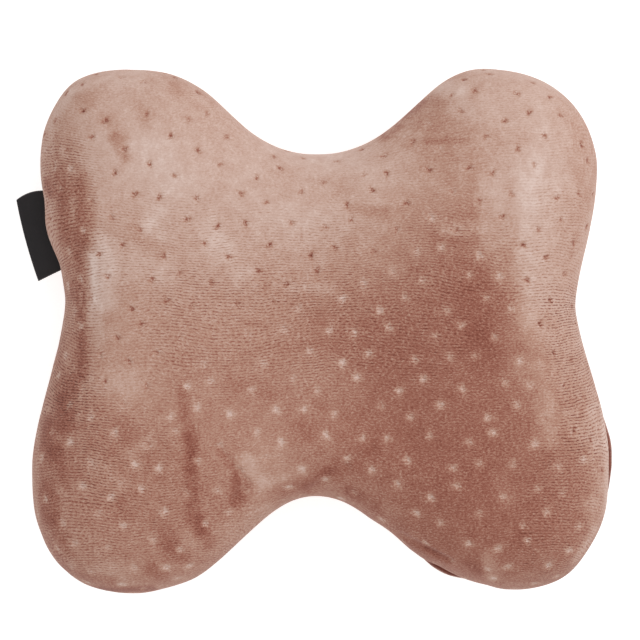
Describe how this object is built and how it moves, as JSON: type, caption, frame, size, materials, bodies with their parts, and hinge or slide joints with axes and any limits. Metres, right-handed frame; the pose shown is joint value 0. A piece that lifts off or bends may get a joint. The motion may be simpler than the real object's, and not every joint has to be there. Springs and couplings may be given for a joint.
{
  "type": "butterfly neck pillow",
  "caption": "Butterfly-shaped foam neck pillow in a plush pin-dot cover, with rounded lobes, a hollow for the neck, a ribbon tab in its side seam and a zip across its back.",
  "frame": {"origin": "on the back panel's flat face, at the middle of the outline", "axes": "+Z out of the pillow's front, away from the flat back; +X across the pillow, the long way; +Y up the pillow"},
  "size_m": [0.3079, 0.2704, 0.094],
  "materials": {
    "foam": "open-cell foam, matte",
    "plush": "short-pile plush knit, dusty pink, with pressed pin dots",
    "ribbon": "black woven ribbon",
    "zip_tape": "woven zip tape",
    "zip_coil": "satin nylon",
    "zip_metal": "nickel plate"
  },
  "bodies": {
    "pillow": {"foam_core": "foam", "cover_front": "plush", "cover_back": "plush", "side_tab": "ribbon", "zip_tape_upper": "zip_tape", "zip_tape_lower": "zip_tape", "zip_coil_upper": "zip_coil", "zip_coil_lower": "zip_coil", "zip_stop_right": "zip_metal", "zip_stop_left": "zip_metal"},
    "slider": {"zip_slider": "zip_metal"},
    "pull": {"zip_pull": "zip_metal"}
  },
  "joints": [
    {"name": "zip_travel", "type": "slide", "parent": "pillow", "child": "slider", "axis": [1, 0, 0], "range_m": [-0.17, 0]},
    {"name": "pull_swing", "type": "hinge", "parent": "slider", "child": "pull", "pos_m": [0.085, -0.03, 0.004], "axis": [0, -1, 0], "range_deg": [0, 150]}
  ]
}
